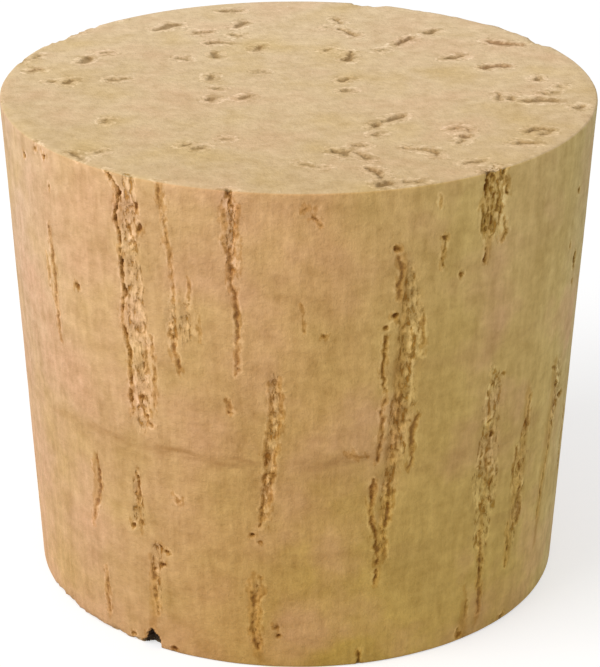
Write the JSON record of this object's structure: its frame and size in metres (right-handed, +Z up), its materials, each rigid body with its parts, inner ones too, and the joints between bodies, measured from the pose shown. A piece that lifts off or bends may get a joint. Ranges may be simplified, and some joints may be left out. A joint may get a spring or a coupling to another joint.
{
  "type": "tapered cork stopper",
  "caption": "Tapered natural cork stopper with a wide flat top and a narrow flat bottom, lenticel channels down its side and pits in its end faces, pushed into a round neck to close it.",
  "frame": {"origin": "centre of the narrow bottom face, which it stands on", "axes": "+Z up along the cork's axis towards the wide top face; the front, with the short double channel near the middle, faces -Y"},
  "size_m": [0.0445, 0.0444, 0.038],
  "materials": {
    "cork": "matte"
  },
  "bodies": {
    "root": {"cork_stopper": "cork"}
  },
  "joints": []
}
